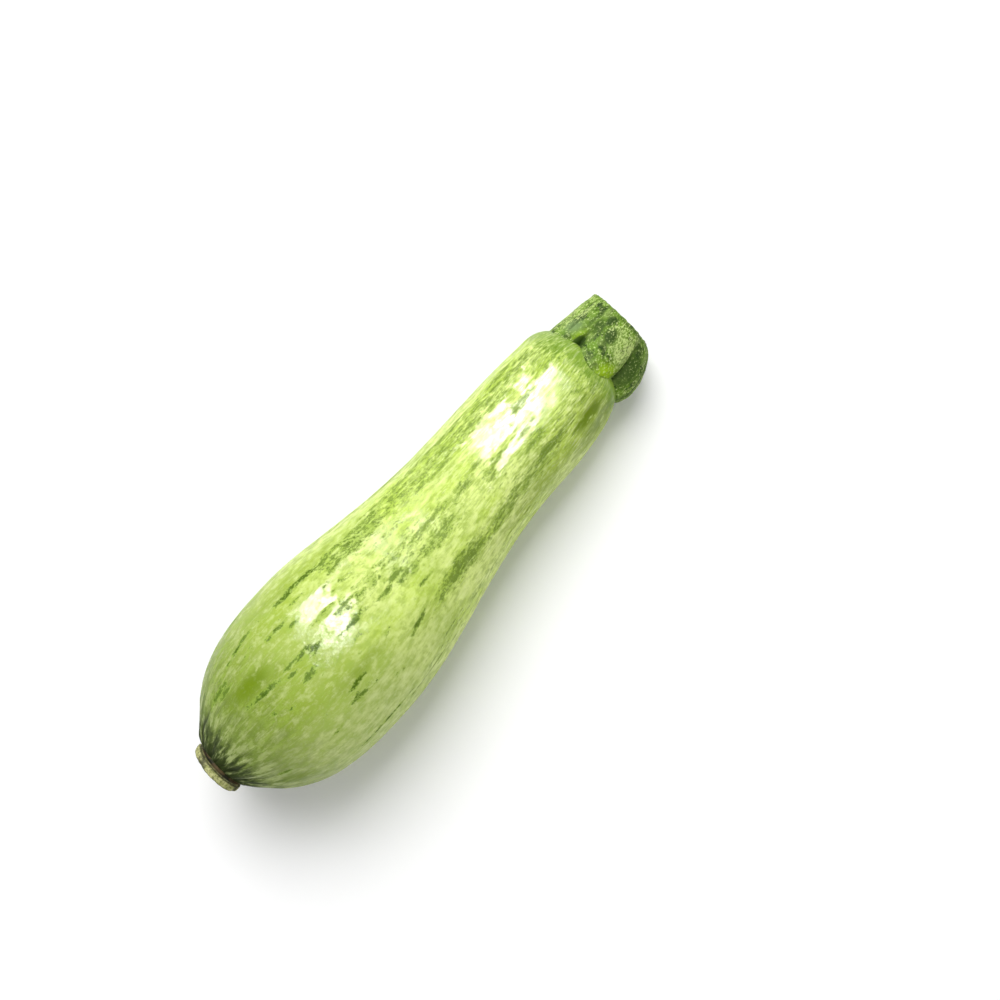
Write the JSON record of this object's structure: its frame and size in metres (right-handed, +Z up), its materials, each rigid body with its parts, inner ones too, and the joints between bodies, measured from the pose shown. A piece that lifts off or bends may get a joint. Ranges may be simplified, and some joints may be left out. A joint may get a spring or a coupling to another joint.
{
  "type": "zucchini",
  "caption": "Pale green, club-shaped zucchini lying on its belly: a full flower end, a slim neck, a short folded stem stub with a slanting cut, and a corky flower scar.",
  "frame": {"origin": "the middle of the bounding box's underside, on the surface the zucchini lies on", "axes": "+X runs along the fruit from the flower scar to the cut stem, level with the surface it lies on; +Z is up"},
  "size_m": [0.1918, 0.0592, 0.0592],
  "materials": {
    "fruit_skin": "gloss",
    "stem_skin": "satin",
    "scar_cork": "matte"
  },
  "bodies": {
    "root": {"fruit_body": "fruit_skin", "stem_stub": "stem_skin", "blossom_scar": "scar_cork"}
  },
  "joints": []
}
